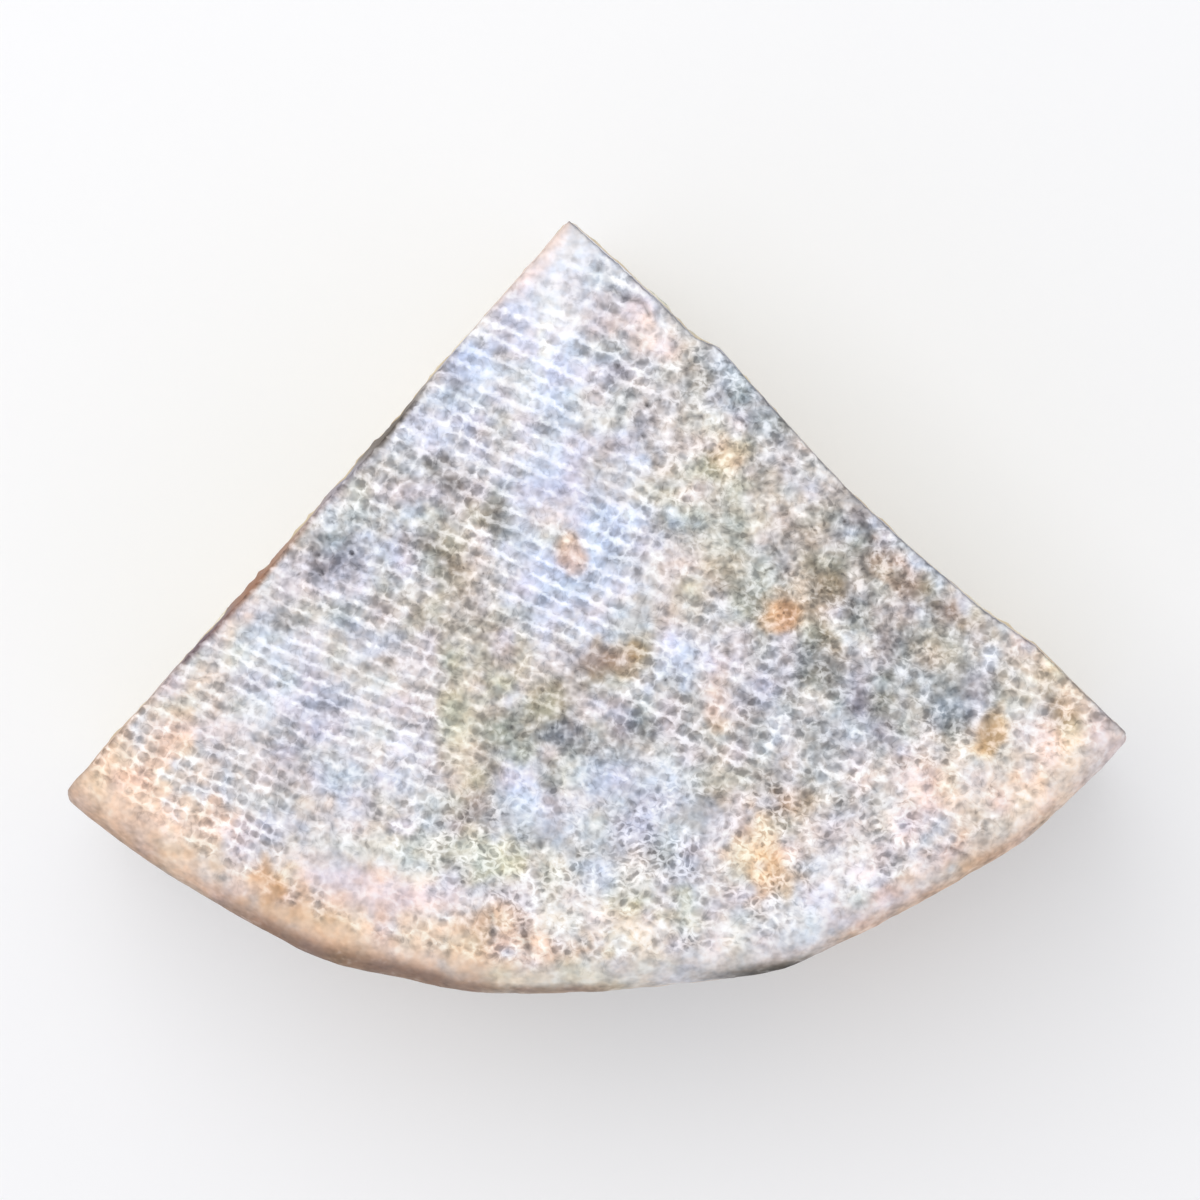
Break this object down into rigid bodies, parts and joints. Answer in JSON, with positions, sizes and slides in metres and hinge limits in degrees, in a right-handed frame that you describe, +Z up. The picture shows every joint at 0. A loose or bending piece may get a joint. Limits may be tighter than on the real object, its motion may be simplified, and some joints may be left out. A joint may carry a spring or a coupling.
{
  "type": "blue cheese quarter",
  "caption": "Quarter of a natural-rind blue cheese wheel with a net-marked rind face, a round rind wall and cut faces.",
  "frame": {"origin": "under the middle of the wedge's outline, on its flat underside", "axes": "+Z up from the underside to the net-marked rind face, +Y towards the cut tip, -Y towards the round rind wall"},
  "size_m": [0.204, 0.1486, 0.0908],
  "materials": {
    "cheese": "matte"
  },
  "bodies": {
    "root": {"cheese_wedge": "cheese"}
  },
  "joints": []
}
